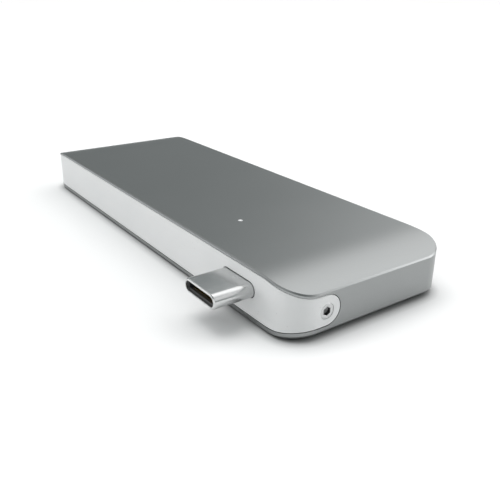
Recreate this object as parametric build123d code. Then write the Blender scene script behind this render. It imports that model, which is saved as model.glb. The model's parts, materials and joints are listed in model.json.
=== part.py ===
from build123d import *
import math
import os

# A slim USB-C hub for the side of a laptop: an aluminium shell, closed along its front by a white
# band that wraps round both front corners, with a sliding USB-C plug near the right end and the
# sockets in the back. Millimetres. The origin is the centre of the underside, +X runs towards the
# plug's end, the plug points along -Y, the sockets open along +Y and +Z is up.

# ---------------------------------------------------------------- driving sizes: shell
body_length = 91.6
body_width = 31.8
body_height = 8.9
corner_radius = 4.8
end_run = 7.0          # length at each end over which the top falls and the underside rises
top_fall = 1.7
bottom_rise = 0.85
edge_chamfer = 0.18    # upper rim
bottom_chamfer = 0.4   # lower rim
skin = 0.9             # thickness of the top and the underside
end_wall = 2.4
back_wall = 1.2

# ---------------------------------------------------------------- driving sizes: clearances
seat_gap = 0.02        # parts that are fitted together
running_gap = 0.08     # parts that slide on each other
fit_gap = 0.15         # plastic parts inside the shell
screw_gap = 0.1        # a screw in a hole that it passes through
edge_gap = 0.1         # a part and the edge of the board's cut-out for it
part_gap = 0.6         # between parts that stand on the board
over = 1.0             # how far a cut runs past the face that it opens

# ---------------------------------------------------------------- driving sizes: front band
band_wall = 1.3
top_lip = 0.6          # shell left above the band
bottom_lip = 1.05      # shell left below the band
band_gap = 0.12        # visible gap between the band and the shell
band_sink = 0.03       # band's face behind the shell's
band_reach = 8.7       # how far the band runs back along each end face
tab_width = 7.0        # locating tabs behind the band, under the shell's top
tab_depth = 1.3
tab_thickness = 0.8
tab_root = 0.4         # how deep a tab is rooted in the band
tab_gap = 0.05
tab_count = 3

# ---------------------------------------------------------------- driving sizes: USB-C plug
plug_width = 8.25
plug_height = 2.4
plug_wall = 0.38
plug_reach = 6.65      # length that stands out of the band
plug_from_end = 12.7   # plug's centre to the right end face
plug_rise = 0.75       # plug's centre above the middle of the body
plug_travel = 2.0
plug_rim = 0.15        # turned-in edge of the plug's mouth
plug_hold = 3.6        # length of the tube that the carriage holds
slot_gap = 0.13        # running gap round the plug in the band
cavity_width = 6.7     # mouth inside the plug
cavity_height = 0.9
core_setback = 0.35    # black core behind the mouth
pin_count = 12         # contacts in each row of a USB-C connector
pin_pitch = 0.5
pin_width = 0.22
pin_thickness = 0.1
pin_setback = 0.8      # tips of the contacts behind the mouth
pin_bow = 0.12         # how far a contact bows towards the mouth's middle
pin_bow_length = 1.5
pin_solder = 3.0       # length that lies on the small board
latch_thickness = 0.12
latch_height = 0.5
latch_setback = 1.0
latch_tail = 1.5       # length beside the small board
card_thickness = 0.6   # small board inside the plug and the carriage
card_setback = 7.0     # small board behind the mouth
card_width = 9.4
card_margin = 0.3      # narrow end of the small board inside the core's room
card_tail = 0.6        # length that stands out behind the carriage

# ---------------------------------------------------------------- driving sizes: plug slide
carriage_width = 11.2
carriage_height = 4.2
carriage_length = 7.0
carriage_bevel = 0.4
slide_room = 0.2       # left in front of the carriage when the plug is out
rib_width = 0.7        # guide rib on each side of the carriage
rib_height = 1.2
rib_setback = 1.0
stop_gap = 0.05        # ribs and the closed ends of their grooves
card_ledge = 0.9       # ledge in the carriage that carries each edge of the small board
card_room = 0.2        # room beside the small board in the carriage
guide_wall = 1.7
guide_floor = 1.0
guide_end = 1.0        # closed back of the channel
window_room = 0.3      # room beside the small board in the closed back
window_low = 0.8
window_high = 1.3
ear_length = 3.0
ear_width = 2.6
ear_thickness = 0.8
ear_root = 0.1         # how deep an ear is rooted in the guide
ear_rise = 0.2         # top of the ears above the main board's underside
ear_setback = 0.5      # centre of the ears behind the guide
spring_width = 4.0
spring_thickness = 0.15
spring_floor = 0.4     # left under the spring's pocket
spring_room = 0.15
spring_foot = 1.2
spring_crest = 1.8
spring_margin = 0.3

# ---------------------------------------------------------------- driving sizes: inside
film_thickness = 0.15
film_margin = 0.5
frame_height = 2.15    # frame under the main board
frame_rail = 1.8
boss_half = 1.9        # half the side of the square boss for an end screw
board_thickness = 1.0
board_margin = 1.0     # board's end to the shell's inner end wall
board_front_margin = 1.2
board_back_margin = 0.7
bay_margin = 0.6       # room round the plug's slide
screw_radius = 0.7     # board and guide screws
screw_edge = 2.0       # board screw to the board's edge
head_radius = 1.3
head_height = 0.7
recess_length = 1.7
recess_width = 0.35
recess_depth = 0.3
board_screw_length = 2.6
guide_screw_length = 1.9
post_half = 1.7        # half the side of the square posts for the board's screws
post_bite = 0.4        # how far a post runs into the frame's end rail

# ---------------------------------------------------------------- driving sizes: end screws
end_screw_radius = 0.8
end_head_radius = 1.22
end_head_depth = 0.5
end_head_sink = 0.05   # head's face behind the shell's
end_screw_drop = 0.15  # screw below the middle of the band's tip
end_screw_length = 4.4
socket_radius = 0.7
socket_depth = 0.45

# ---------------------------------------------------------------- driving sizes: status light
light_from_end = 25.7
light_from_front = 9.35
light_radius = 0.38
light_foot_radius = 1.1
light_air = 0.1        # between the LED and the light pipe
led_length = 1.6
led_width = 0.8
led_height = 0.6

# ---------------------------------------------------------------- driving sizes: sockets
port_margin = 1.5      # outermost socket to the end of the straight back
port_setback = 0.2     # mouth of a socket behind the back face
port_gap = 0.1         # clearance round a socket in the back wall
port_wall = 0.3        # sheet of the socket shells
sheet_bend = 0.2       # inner radius of a bend in that sheet
flange_width = 0.5     # feet that stand on the board
flange_thickness = 0.4
flange_setback = 1.5
flange_length = 3.0
flange_root = 1.0      # length of a foot under the round side of a USB-C socket

usb_a_width = 13.2
usb_a_height = 5.7
usb_a_depth = 13.0
tongue_a_width = 11.1
tongue_a_thickness = 1.84
tongue_a_length = 8.6
tongue_a_setback = 0.8
tongue_a_drop = 0.67   # tongue below the ceiling of the mouth
tongue_a_bevel = 0.25
block_gap = 0.25       # back block of the tongue inside the shell
leaf_offset = 3.0      # spring leaves from the middle of the socket
leaf_width = 1.6
leaf_length = 3.7
leaf_thickness = 0.2
leaf_root = 0.1
window_width = 2.2     # window that a leaf is cut from
window_length = 4.0
window_setback = 2.5
long_pins = (-3.5, -1.0, 1.0, 3.5)
long_pin_width = 1.0
long_pin_thickness = 0.15
long_pin_setback = 3.0
short_pins = 5
short_pin_pitch = 2.0
short_pin_width = 0.8
short_pin_thickness = 0.1
short_pin_setback = 0.8
short_pin_length = 1.4

usb_c_width = 8.94
usb_c_height = 3.16
usb_c_depth = 7.35
tongue_c_width = 6.7
tongue_c_thickness = 0.7
tongue_c_length = 4.6
tongue_c_setback = 0.9
pad_thickness = 0.06   # contacts on the tongue
pad_setback = 0.8

sd_width = 26.6
sd_depth = 17.5
sd_height = 2.9
sd_mouth_width = 24.4
sd_mouth_height = 2.35
sd_pins = 9
sd_pitch = 2.5
sd_pin_width = 0.9

micro_width = 14.0
micro_depth = 13.0
micro_height = 1.5
micro_mouth_width = 11.3
micro_mouth_height = 1.0
micro_pins = 8
micro_pitch = 1.1
micro_pin_width = 0.4
micro_room = 0.4       # room round the microSD socket in the frame

tray_back = 1.6        # wall of a tray behind the card
tray_gap = 0.1         # tray and the shell's back wall
cover_notch = 2.5      # depth of the cover's finger notch, and its distance from the mouth's sides
card_pin_thickness = 0.12
card_pin_foot = 1.0
card_pin_length = 3.5
card_pin_lift = 0.5
card_pin_stand = 0.02  # contacts above the tray's floor

# ---------------------------------------------------------------- driving sizes: on the board
row_margin = 0.8       # board's front edge to the row of chips
hub_chip_size = 8.0
reader_chip_size = 6.0
power_chip_size = 4.0
memory_chip_size = 4.0
chip_height = 0.9
chip_bevel = 0.12
chip_pad = 0.05        # solder under a chip
chip_pad_inset = 0.1
can_size = 11.0        # shield can over the hub chip
can_height = 1.7
can_wall = 0.2
can_corner = 0.5
pad_margin = 1.2       # thermal pad on the shield can
coil_size = 4.0
coil_height = 2.0
coil_corner = 0.6
crystal_length = 3.2
crystal_width = 2.5
crystal_height = 0.8
crystal_corner = 0.4
ceramic_length = 1.6
ceramic_width = 0.8
ceramic_height = 0.8

# ---------------------------------------------------------------- driving sizes: flexible cable
flex_width = 6.0
flex_thickness = 0.12
flex_height = 1.3      # of the connector on the main board
flex_depth = 3.0
flex_side = 1.2        # connector beyond each edge of the cable
flex_mouth = 2.0       # depth of the connector's mouth
flex_mouth_height = 0.2
flex_side_room = 0.1
flex_insert = 1.8      # length of the cable in the connector
flex_hold = 1.0        # length that lies on the plug's small board
flex_lead = 2.05       # from the start of the cable to its fold
flex_ramp = 0.42
flex_crest = 1.1
flex_drop = 0.55
flex_lift = 1.2        # height of the fold that opens when the plug slides out
flex_bend = 0.25

# ---------------------------------------------------------------- places worked out from the sizes
half_length = body_length / 2
half_width = body_width / 2
front = -half_width
back = half_width
straight = half_length - end_run          # half the length that has a level top
band_inside = front + band_wall
back_inside = back - back_wall
end_inside = half_length - end_wall
floor = skin
ceiling = body_height - skin

film_top = floor + film_thickness
board_bottom = film_top + frame_height
board_top = board_bottom + board_thickness
board_half = end_inside - board_margin
board_front = band_inside + board_front_margin
board_back = back_inside - board_back_margin
chip_row = board_front + row_margin
port_z = body_height / 2

band_end_top = body_height - top_fall - top_lip
band_end_bottom = bottom_rise + bottom_lip
tip_radius = (band_end_top - band_end_bottom) / 2
tip_z = (band_end_top + band_end_bottom) / 2
tip_y = front + band_reach - tip_radius
screw_z = tip_z - end_screw_drop

plug_x = half_length - plug_from_end
plug_z = body_height / 2 + plug_rise
plug_tip = front - plug_reach
guide_front = band_inside + slide_room
carriage_front = guide_front + plug_travel
carriage_back = carriage_front + carriage_length
plug_root = carriage_front + plug_hold
card_front = plug_tip + card_setback
card_back = carriage_back + card_tail
guide_half = carriage_width / 2 + running_gap + guide_wall
guide_back = carriage_back + stop_gap + guide_end
guide_bottom = plug_z - carriage_height / 2 - running_gap - guide_floor
ear_x = guide_half + ear_width / 2 - ear_root
ear_y = guide_back + ear_setback
ear_top = board_bottom + ear_rise
bay_left = plug_x - guide_half - ear_width - bay_margin
bay_back = ear_y + ear_length / 2 + bay_margin

light_x = half_length - light_from_end
light_y = front + light_from_front


# ---------------------------------------------------------------- helpers
def block(x, y, z):
    """A box between pairs of coordinates."""
    size = Box(x[1] - x[0], y[1] - y[0], z[1] - z[0])
    return Pos((x[0] + x[1]) / 2, (y[0] + y[1]) / 2, (z[0] + z[1]) / 2) * size


def centred(x, half, y, z):
    """A box that is centred on x."""
    return block((x - half, x + half), y, z)


def rod(radius, start, end):
    """A cylinder from one point to another."""
    axis = Vector(*end) - Vector(*start)
    return extrude(Plane(origin=start, z_dir=axis) * Circle(radius), axis.length)


def upright(radius, x, y, z):
    """An upright cylinder between a pair of heights."""
    return rod(radius, (x, y, z[0]), (x, y, z[1]))


def oval_bar(width, height, y, x=plug_x, z=plug_z):
    """A bar along Y with the oval section of a USB-C connector."""
    section = Plane(origin=(x, y[0], z), x_dir=(1, 0, 0), z_dir=(0, 1, 0)) * SlotOverall(width, height)
    return extrude(section, y[1] - y[0])


def sheet_strip(points, thickness, x, width):
    """A bent strip of sheet: its centre line is given as (y, z) points, its width runs along X."""
    strip = extrude(trace(Polyline(*points), thickness), width)
    return Plane.YZ.offset(x - width / 2) * strip


def row_of(count, pitch, middle=0.0):
    """Evenly spaced places on both sides of the middle."""
    return [middle + (i - (count - 1) / 2) * pitch for i in range(count)]


def side_profile(top_inset, bottom_inset):
    """The body's outline seen from the front, with its falling top and rising underside."""
    top = body_height - top_inset
    low = bottom_inset
    with BuildSketch(Plane.XZ) as outline:
        with BuildLine():
            Line((-straight, low), (straight, low))
            TangentArc((straight, low), (half_length, low + bottom_rise), tangent=(1, 0))
            Line((half_length, low + bottom_rise), (half_length, top - top_fall))
            TangentArc((straight, top), (half_length, top - top_fall), tangent=(1, 0))
            Line((straight, top), (-straight, top))
            TangentArc((-straight, top), (-half_length, top - top_fall), tangent=(-1, 0))
            Line((-half_length, top - top_fall), (-half_length, low + bottom_rise))
            TangentArc((-straight, low), (-half_length, low + bottom_rise), tangent=(-1, 0))
        make_face()
    return outline.sketch


def underside_rise(x):
    """How far the underside has risen at a distance from the middle of the body."""
    radius = (end_run ** 2 + bottom_rise ** 2) / (2 * bottom_rise)
    return radius - math.sqrt(radius ** 2 - max(0.0, x - straight) ** 2)


def slab(plan, top_inset, bottom_inset):
    """What stands on a plan, between surfaces that follow the body's top and underside."""
    bar = extrude(side_profile(top_inset, bottom_inset), body_width, both=True)
    return extrude(plan, body_height) & bar


def body_plan(inset):
    """The body's outline seen from above, moved inwards."""
    return RectangleRounded(body_length - 2 * inset, body_width - 2 * inset, corner_radius - inset)


def cavity_plan(gap):
    """The room inside, open to the band: from the band's inner face to the back wall."""
    half = end_inside - gap
    low, high = band_inside + gap, back_inside - gap
    room = Pos(0, (low + high) / 2) * Rectangle(2 * half, high - low)
    return room & body_plan(band_wall + gap)


def band_space(gap, outer_inset, inner_inset):
    """The band's shape: a ring round the front, cut off in a rounded tip on each end face."""
    ring = body_plan(outer_inset) - body_plan(inner_inset)
    strip = slab(ring, top_lip - gap, bottom_lip - gap)
    reach = block((-half_length, half_length), (front - over, tip_y), (0, body_height))
    tips = rod(tip_radius + gap, (-half_length, tip_y, tip_z), (half_length, tip_y, tip_z))
    return strip & (reach + tips)


# ---------------------------------------------------------------- the sockets' places along the back
port_widths = {"sd": sd_width, "usb_a_1": usb_a_width, "usb_a_2": usb_a_width, "usb_c": usb_c_width}
port_room = 2 * (straight - port_margin)
port_space = (port_room - sum(port_widths.values())) / (len(port_widths) - 1)
port_x = {}
port_edge = -(straight - port_margin)
for port, width in port_widths.items():
    port_x[port] = port_edge + width / 2
    port_edge += width + port_space
mouth_y = back - port_setback
sd_base = board_top
micro_top = board_bottom
usb_a_front = mouth_y - usb_a_depth
usb_c_front = mouth_y - usb_c_depth
frame_rooms = {                          # half width and front edge of what the frame leaves free
    "usb_a_1": (usb_a_width / 2 + flange_width, usb_a_front - edge_gap),
    "usb_a_2": (usb_a_width / 2 + flange_width, usb_a_front - edge_gap),
    "usb_c": (usb_c_width / 2 + flange_width, usb_c_front - edge_gap),
    "sd": (micro_width / 2 + micro_room, mouth_y - micro_depth - micro_room),
}


# ---------------------------------------------------------------- shell and band
def aluminium_shell():
    """The shell: a rounded box with its inside, the band's recess and the openings cut out."""
    body = slab(body_plan(0), 0, 0)
    rims = [e for e in body.edges() if on_outline(e.center()) and not is_upright(e)]
    body = chamfer([e for e in rims if e.center().Z > body_height / 2], edge_chamfer)
    rims = [e for e in body.edges() if on_outline(e.center()) and not is_upright(e)]
    body = chamfer([e for e in rims if e.center().Z < body_height / 2], bottom_chamfer)
    body -= slab(cavity_plan(0), skin, skin)
    body -= band_space(band_gap, -over, band_wall + band_gap)
    body -= upright(light_radius + seat_gap, light_x, light_y, (ceiling - over, body_height + over))
    for side in (-1, 1):
        start = (side * (end_inside - over), tip_y, screw_z)
        body -= rod(end_screw_radius + screw_gap, start, (side * half_length, tip_y, screw_z))
    wall = (back_inside - over, back + over)
    for name in ("usb_a_1", "usb_a_2"):
        half = usb_a_width / 2 + port_gap
        rise = usb_a_height / 2 + port_gap
        body -= centred(port_x[name], half, wall, (port_z - rise, port_z + rise))
    width, height = usb_c_width + 2 * port_gap, usb_c_height + 2 * port_gap
    body -= oval_bar(width, height, wall, port_x["usb_c"], port_z)
    card_z = sd_base + sd_height - port_wall - sd_mouth_height
    body -= centred(port_x["sd"], sd_mouth_width / 2, wall, (card_z, card_z + sd_mouth_height))
    card_z = micro_top - micro_height + port_wall
    body -= centred(port_x["sd"], micro_mouth_width / 2, wall, (card_z, card_z + micro_mouth_height))
    return body


def on_outline(point):
    """True for a point on the upright faces of the body."""
    near = 0.05
    reach_x = abs(point.X) - (half_length - corner_radius)
    reach_y = abs(point.Y) - (half_width - corner_radius)
    if reach_x > 0 and reach_y > 0:
        return math.hypot(reach_x, reach_y) > corner_radius - near
    return max(reach_x, reach_y) > corner_radius - near


def is_upright(line):
    return abs((line @ 0).Z - (line @ 1).Z) > body_height / 4


def front_band():
    """The white band, with the plug's slot, a screw seat at each end and tabs under the top."""
    band = band_space(0, band_sink, band_wall)
    slot = (front - over, band_inside + over)
    band -= oval_bar(plug_width + 2 * slot_gap, plug_height + 2 * slot_gap, slot)
    for side in (-1, 1):
        mouth = (side * half_length, tip_y, screw_z)
        seat = (side * (half_length - end_head_depth), tip_y, screw_z)
        inside = (side * (half_length - band_wall - over), tip_y, screw_z)
        band -= rod(end_screw_radius + screw_gap, inside, mouth)
        band -= rod(end_head_radius + seat_gap, seat, mouth)
    first, last = -straight + tab_width, plug_x - guide_half - tab_width
    middle, pitch = (first + last) / 2, (last - first) / (tab_count - 1)
    top = ceiling - tab_gap
    for x in row_of(tab_count, pitch, middle):
        y = (band_inside - tab_root, band_inside + tab_depth)
        band += centred(x, tab_width / 2, y, (top - tab_thickness, top))
    return band


def end_screws():
    """A flat-headed screw in each end of the band, with a hexagonal driver socket."""
    screws = []
    for side in (-1, 1):
        face = side * (half_length - end_head_sink)
        step = side * (half_length - end_head_depth)
        tail = side * (half_length - end_screw_length)
        screw = rod(end_head_radius, (step, tip_y, screw_z), (face, tip_y, screw_z))
        screw += rod(end_screw_radius, (tail, tip_y, screw_z), (step, tip_y, screw_z))
        hole = Plane(origin=(face, tip_y, screw_z), z_dir=(-side, 0, 0)) * RegularPolygon(socket_radius, 6)
        screws.append(screw - extrude(hole, socket_depth))
    return Compound(children=screws)


# ---------------------------------------------------------------- parts under and on the board
def insulating_film():
    y = (band_inside + film_margin, back_inside - film_margin)
    return centred(0, straight - film_margin, y, (floor, film_top))


post_x = end_inside - fit_gap - frame_rail - post_half + post_bite
board_screw_places = [
    (-post_x, board_front + screw_edge),
    (bay_left - screw_edge, board_front + screw_edge),
    (post_x, bay_back + screw_edge),
]
guide_screw_places = [(plug_x - ear_x, ear_y), (plug_x + ear_x, ear_y)]


def frame_plan():
    """The frame from above: a rim, a rail before the sockets, rungs between them, and posts."""
    outer = cavity_plan(fit_gap)
    plan = outer - cavity_plan(fit_gap + frame_rail)
    rail_y = usb_a_front - edge_gap - frame_rail / 2
    plan += Pos(0, rail_y) * Rectangle(2 * end_inside, frame_rail)
    for name in ("sd", "usb_a_1", "usb_a_2"):
        x = port_x[name] + port_widths[name] / 2 + port_space / 2
        plan += Pos(x, 0) * Rectangle(frame_rail, body_width)
    for x, y in board_screw_places:
        plan += Pos(x, y) * Rectangle(2 * post_half, 2 * post_half)
    bed = Pos((bay_left + end_inside) / 2, (guide_front + bay_back) / 2)
    plan += bed * Rectangle(end_inside - bay_left, bay_back - guide_front)
    return plan & outer


def inner_frame():
    """A ladder-shaped plastic frame under the board, with posts for the screws and end bosses."""
    frame = Pos(0, 0, film_top) * extrude(frame_plan(), frame_height)
    step = film_top + underside_rise(end_inside)
    for side in (-1, 1):
        frame -= block(sorted((side * straight, side * half_length)), (front, back), (0, step))
    frame -= block((bay_left, half_length), (front, bay_back), (guide_bottom, body_height))
    for x, y in guide_screw_places:
        post = (y - ear_length / 2, y + ear_length / 2)
        frame += centred(x, ear_width / 2, post, (guide_bottom, ear_top - ear_thickness))
    channel = (front, guide_back + edge_gap)
    frame -= centred(plug_x, guide_half + edge_gap, channel, (guide_bottom, body_height))
    for name, (half, y) in frame_rooms.items():
        frame -= centred(port_x[name], half, (y, back), (0, body_height))
    for side in (-1, 1):
        ends = sorted((side * (end_inside - fit_gap - frame_rail), side * (end_inside - fit_gap)))
        frame += block(ends, (tip_y - boss_half, tip_y + boss_half), (step, screw_z + boss_half))
        start = (side * (end_inside - fit_gap - frame_rail - over), tip_y, screw_z)
        frame -= rod(end_screw_radius + seat_gap, start, (side * half_length, tip_y, screw_z))
    for x, y in board_screw_places + guide_screw_places:
        frame -= upright(screw_radius + seat_gap, x, y, (film_top - over, body_height))
    return frame


def main_board():
    """An L-shaped board: the plug's slide takes its front right corner."""
    board = block((-board_half, board_half), (board_front, board_back), (board_bottom, board_top))
    board -= block((bay_left, half_length), (front, bay_back), (0, body_height))
    notch = -(end_inside - fit_gap - frame_rail - edge_gap)
    board -= block((-half_length, notch), (front, tip_y + boss_half + edge_gap), (0, body_height))
    for x, y in board_screw_places:
        board -= upright(screw_radius + screw_gap, x, y, (0, body_height))
    rooms = {"usb_a_1": usb_a_front, "usb_a_2": usb_a_front, "usb_c": usb_c_front}
    for name, y in rooms.items():
        half = port_widths[name] / 2 + edge_gap
        board -= centred(port_x[name], half, (y - edge_gap, back), (0, body_height))
    return board


def pan_screws(places, seat, length):
    """Pan-headed screws with a cross recess that stand on a level seat."""
    screws = []
    recess = (seat + head_height - recess_depth, seat + head_height + over)
    long_half, short_half = recess_length / 2, recess_width / 2
    for x, y in places:
        screw = upright(head_radius, x, y, (seat, seat + head_height))
        screw += upright(screw_radius, x, y, (seat - length, seat))
        screw -= centred(x, long_half, (y - short_half, y + short_half), recess)
        screw -= centred(x, short_half, (y - long_half, y + long_half), recess)
        screws.append(screw)
    return Compound(children=screws)


def status_led():
    y = (light_y - led_width / 2, light_y + led_width / 2)
    return centred(light_x, led_length / 2, y, (board_top, board_top + led_height))


def light_pipe():
    """A clear pin whose foot stands over the LED and whose tip shows in the top."""
    foot = board_top + led_height + light_air
    pipe = upright(light_foot_radius, light_x, light_y, (foot, ceiling))
    return pipe + upright(light_radius, light_x, light_y, (ceiling, body_height))


# ---------------------------------------------------------------- USB-C plug and its slide
def plug_shell():
    """A drawn steel tube with a turned-in mouth."""
    tube = oval_bar(plug_width, plug_height, (plug_tip, plug_root))
    rim = tube.faces().sort_by(Axis.Y)[0].outer_wire().edges()
    tube = chamfer(rim, plug_rim)
    bore = (plug_tip - over, plug_root + over)
    return tube - oval_bar(plug_width - 2 * plug_wall, plug_height - 2 * plug_wall, bore)


def plug_insulator():
    """The black core of the plug: it lines the tube and leaves the mouth for the socket's tongue."""
    gap = 2 * (plug_wall + seat_gap)
    core = oval_bar(plug_width - gap, plug_height - gap, (plug_tip + core_setback, plug_root))
    z = (plug_z - cavity_height / 2, plug_z + cavity_height / 2)
    return core - centred(plug_x, cavity_width / 2, (plug_tip - over, plug_root + over), z)


def plug_contacts():
    """Two rows of spring contacts, each with a bowed tip, soldered to the small board."""
    pins = []
    lie = card_thickness / 2 + pin_thickness / 2
    tip = plug_tip + pin_setback
    shape = [
        (tip, lie),
        (tip + pin_bow_length / 2, lie - pin_bow),
        (tip + pin_bow_length, lie),
        (card_front + pin_solder, lie),
    ]
    for x in row_of(pin_count, pin_pitch, plug_x):
        for up in (-1, 1):
            pins.append(sheet_strip([(y, plug_z + up * z) for y, z in shape], pin_thickness, x, pin_width))
    return Compound(children=pins)


def plug_latches():
    """A side latch at each end of the mouth: it grips the socket's tongue."""
    half = latch_thickness / 2
    y = (plug_tip + latch_setback, card_front + latch_tail)
    z = (plug_z - latch_height / 2, plug_z + latch_height / 2)
    reach = cavity_width / 2 - seat_gap - half
    return Compound(children=[centred(plug_x + side * reach, half, y, z) for side in (-1, 1)])


def plug_card():
    """The small board in the plug: narrow in the tube, wide in the carriage."""
    z = (plug_z - card_thickness / 2, plug_z + card_thickness / 2)
    nose = centred(plug_x, cavity_width / 2 - card_margin, (card_front, plug_root + over), z)
    return nose + centred(plug_x, card_width / 2, (plug_root + card_margin, card_back), z)


def plug_carriage():
    """The moulded block that holds the plug and runs in the guide on a rib at each side."""
    low, high = plug_z - carriage_height / 2, plug_z + carriage_height / 2
    half = carriage_width / 2
    body = centred(plug_x, half, (carriage_front, carriage_back), (low, high))
    body = chamfer(body.edges().filter_by(Axis.Y), carriage_bevel)
    rib = (plug_z - rib_height / 2, plug_z + rib_height / 2)
    body += centred(plug_x, half + rib_width, (carriage_front + rib_setback, carriage_back), rib)
    gap = 2 * seat_gap
    body -= oval_bar(plug_width + gap, plug_height + gap, (carriage_front - over, plug_root))
    room = (plug_root, carriage_back + over)
    above = (plug_z - card_thickness / 2, plug_z + plug_height / 2)
    body -= centred(plug_x, card_width / 2 + card_room, room, above)
    below = (plug_z - plug_height / 2, plug_z)
    body -= centred(plug_x, card_width / 2 - card_ledge, room, below)
    return body


spring_seat = guide_bottom + spring_floor


def plug_guide():
    """The channel that the carriage runs in. The closed ends of its grooves stop the slide."""
    top = plug_z + carriage_height / 2
    channel_end = carriage_back + stop_gap
    body = centred(plug_x, guide_half, (guide_front, guide_back), (guide_bottom, top))
    room = carriage_width / 2 + running_gap
    bed = guide_bottom + guide_floor
    body -= centred(plug_x, room, (guide_front - over, channel_end), (bed, body_height))
    rib = rib_height / 2 + running_gap
    stop = carriage_front + rib_setback - plug_travel - stop_gap
    body -= centred(plug_x, room + rib_width, (stop, channel_end), (plug_z - rib, plug_z + rib))
    window = (plug_z - window_low, plug_z + window_high)
    body -= centred(plug_x, card_width / 2 + window_room, (carriage_back, guide_back + over), window)
    for x, y in guide_screw_places:
        ear = (y - ear_length / 2, y + ear_length / 2)
        body += centred(x, ear_width / 2, ear, (ear_top - ear_thickness, ear_top))
        body -= upright(screw_radius + screw_gap, x, y, (0, body_height))
    pocket = (carriage_front, carriage_back - spring_margin)
    body -= centred(plug_x, spring_width / 2 + spring_room, pocket, (spring_seat, body_height))
    return body


def friction_spring():
    """A bowed leaf in the guide's floor that holds the carriage where it is left."""
    low = spring_seat + spring_thickness / 2
    high = plug_z - carriage_height / 2 - seat_gap - spring_thickness / 2
    start, end = carriage_front + spring_margin, carriage_back - 2 * spring_margin
    middle = (start + end) / 2
    points = [
        (start, low),
        (start + spring_foot, low),
        (middle - spring_crest / 2, high),
        (middle + spring_crest / 2, high),
        (end - spring_foot, low),
        (end, low),
    ]
    return sheet_strip(points, spring_thickness, plug_x, spring_width)


# ---------------------------------------------------------------- flexible cable to the main board
flex_y = bay_back + part_gap


def flex_connector():
    """A low connector whose mouth faces the plug's slide."""
    half = flex_width / 2
    y = (flex_y, flex_y + flex_depth)
    body = centred(plug_x, half + flex_side, y, (board_top, board_top + flex_height))
    middle = board_top + flex_height / 2
    mouth = (middle - flex_mouth_height / 2, middle + flex_mouth_height / 2)
    return body - centred(plug_x, half + flex_side_room, (flex_y - over, flex_y + flex_mouth), mouth)


def flex_cable():
    """A flat cable with one fold, from the plug's small board to the main board."""
    start = card_back - flex_hold
    level = plug_z + card_thickness / 2 + flex_thickness / 2
    end = (flex_y + flex_insert, board_top + flex_height / 2)
    lead = start + flex_lead
    crest = lead + flex_ramp
    points = [
        (start, level),
        (lead, level),
        (crest, level + flex_lift),
        (crest + flex_crest, level + flex_lift),
        (crest + flex_crest + flex_drop, end[1]),
        end,
    ]
    path = FilletPolyline(*[(0, y, z) for y, z in points], radius=flex_bend)
    section = Plane(origin=(0, start, level), z_dir=(0, 1, 0), x_dir=(1, 0, 0))
    cable = sweep(section * Rectangle(flex_width, flex_thickness), path=path)
    return Pos(plug_x, 0, 0) * cable


# ---------------------------------------------------------------- sockets in the back
def usb_a_shell(x):
    """A box of sheet steel, open to the back, with spring leaves and feet on the board."""
    half, rise = usb_a_width / 2, usb_a_height / 2
    y = (usb_a_front, mouth_y)
    body = centred(x, half, y, (port_z - rise, port_z + rise))
    body = fillet(body.edges().filter_by(Axis.Y), port_wall + sheet_bend)
    room = (port_z - rise + port_wall, port_z + rise - port_wall)
    inner = centred(x, half - port_wall, (y[0] + port_wall, y[1] + over), room)
    body -= fillet(inner.edges().filter_by(Axis.Y), sheet_bend)
    window_end = mouth_y - window_setback
    window_start = window_end - window_length
    leaf_y = (window_start - leaf_root, window_start + leaf_length)
    for side in (-1, 1):
        at = x + side * leaf_offset
        body -= centred(at, window_width / 2, (window_start, window_end), (0, body_height))
        for up in (-1, 1):
            leaf_z = sorted((port_z + up * rise, port_z + up * (rise - leaf_thickness)))
            body += centred(at, leaf_width / 2, leaf_y, leaf_z)
        feet = sorted((x + side * half, x + side * (half + flange_width)))
        foot_y = (y[0] + flange_setback, y[0] + flange_setback + flange_length)
        body += block(feet, foot_y, (board_top, board_top + flange_thickness))
    return body


tongue_a_top = port_z + usb_a_height / 2 - port_wall - tongue_a_drop
tongue_a_tip = mouth_y - tongue_a_setback
tongue_a_root = tongue_a_tip - tongue_a_length


def usb_a_tongue(x):
    """The blue tongue on its back block."""
    half = tongue_a_width / 2
    y = (tongue_a_root - over, tongue_a_tip)
    tongue = centred(x, half, y, (tongue_a_top - tongue_a_thickness, tongue_a_top))
    tongue = chamfer(tongue.faces().sort_by(Axis.Y)[-1].edges(), tongue_a_bevel)
    inner = usb_a_height / 2 - port_wall - block_gap
    rear = (usb_a_front + port_wall, tongue_a_root)
    return tongue + centred(x, half, rear, (port_z - inner, port_z + inner))


def usb_a_contacts(x):
    """Four long contacts and five short ones under the tongue."""
    face = tongue_a_top - tongue_a_thickness
    long_y = (tongue_a_root, tongue_a_tip - long_pin_setback)
    short_end = tongue_a_tip - short_pin_setback
    short_y = (short_end - short_pin_length, short_end)
    pins = []
    for at in long_pins:
        pins.append(centred(x + at, long_pin_width / 2, long_y, (face - long_pin_thickness, face)))
    for at in row_of(short_pins, short_pin_pitch, x):
        pins.append(centred(at, short_pin_width / 2, short_y, (face - short_pin_thickness, face)))
    return Compound(children=pins)


def usb_c_shell(x):
    """A drawn oval shell with a foot on the board at each side."""
    y = (usb_c_front, mouth_y)
    body = oval_bar(usb_c_width, usb_c_height, y, x, port_z)
    wall = 2 * port_wall
    bore = (y[0] + port_wall, y[1] + over)
    body -= oval_bar(usb_c_width - wall, usb_c_height - wall, bore, x, port_z)
    for side in (-1, 1):
        half = usb_c_width / 2
        feet = sorted((x + side * (half - flange_root), x + side * (half + flange_width)))
        foot_y = (y[0] + flange_setback, y[0] + flange_setback + flange_length)
        foot = block(feet, foot_y, (board_top, board_top + flange_thickness))
        body += foot - oval_bar(usb_c_width - port_wall, usb_c_height - port_wall, y, x, port_z)
    return body


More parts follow.
